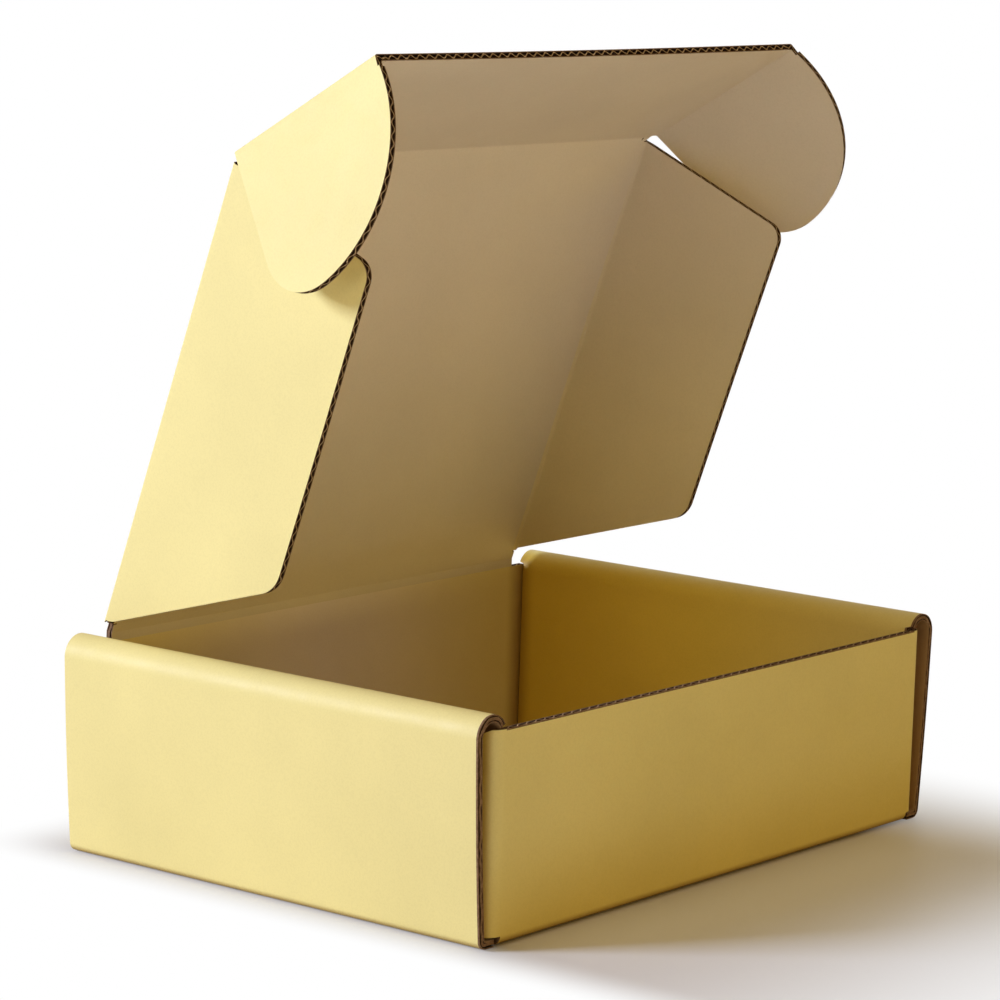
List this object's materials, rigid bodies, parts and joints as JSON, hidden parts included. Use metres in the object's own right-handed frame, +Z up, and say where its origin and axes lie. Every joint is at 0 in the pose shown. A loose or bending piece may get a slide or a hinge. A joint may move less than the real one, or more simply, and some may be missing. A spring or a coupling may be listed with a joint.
{
  "type": "corrugated mailer box",
  "caption": "Folded corrugated mailer box with rolled side walls, its hinged lid raised, with side flaps, a tuck flap and rounded ears",
  "frame": {"origin": "middle of the tray's floor, on the surface it rests on", "axes": "+X to the box's right seen from its front wall, +Y from the front wall to the lid's fold, +Z up"},
  "size_m": [0.2019, 0.132, 0.2019],
  "materials": {
    "tray": "printed pale yellow liner, matte",
    "lid_panel": "printed pale yellow liner, matte",
    "left_side_flap": "printed pale yellow liner, matte",
    "right_side_flap": "printed pale yellow liner, matte",
    "tuck_flap": "printed pale yellow liner, matte",
    "left_ear": "printed pale yellow liner, matte",
    "right_ear": "printed pale yellow liner, matte"
  },
  "bodies": {
    "tray": {"tray": "tray"},
    "lid_panel": {"lid_panel": "lid_panel"},
    "left_side_flap": {"left_side_flap": "left_side_flap"},
    "right_side_flap": {"right_side_flap": "right_side_flap"},
    "tuck_flap": {"tuck_flap": "tuck_flap"},
    "left_ear": {"left_ear": "left_ear"},
    "right_ear": {"right_ear": "right_ear"}
  },
  "joints": [
    {"name": "lid_hinge", "type": "hinge", "parent": "tray", "child": "lid_panel", "pos_m": [0, 0.0651, 0.054], "axis": [-1, 0, 0], "range_deg": [-45, 109]},
    {"name": "left_side_flap_fold", "type": "hinge", "parent": "lid_panel", "child": "left_side_flap", "pos_m": [-0.0819, 0.0651, 0.054], "axis": [0, 0.3256, -0.9455], "range_deg": [-37.4, 7]},
    {"name": "right_side_flap_fold", "type": "hinge", "parent": "lid_panel", "child": "right_side_flap", "pos_m": [0.0819, 0.0651, 0.054], "axis": [0, -0.3256, 0.9455], "range_deg": [-37.4, 18]},
    {"name": "tuck_fold", "type": "hinge", "parent": "lid_panel", "child": "tuck_flap", "pos_m": [0, 0.02339, 0.17512], "axis": [-1, 0, 0], "range_deg": [-39.5, 40.5]},
    {"name": "left_ear_fold", "type": "hinge", "parent": "tuck_flap", "child": "left_ear", "pos_m": [-0.084, 0.02339, 0.17512], "axis": [0, 0.8616, -0.5075], "range_deg": [-10.5, 76]},
    {"name": "right_ear_fold", "type": "hinge", "parent": "tuck_flap", "child": "right_ear", "pos_m": [0.084, 0.02339, 0.17512], "axis": [0, -0.8616, 0.5075], "range_deg": [-25.5, 61]}
  ]
}
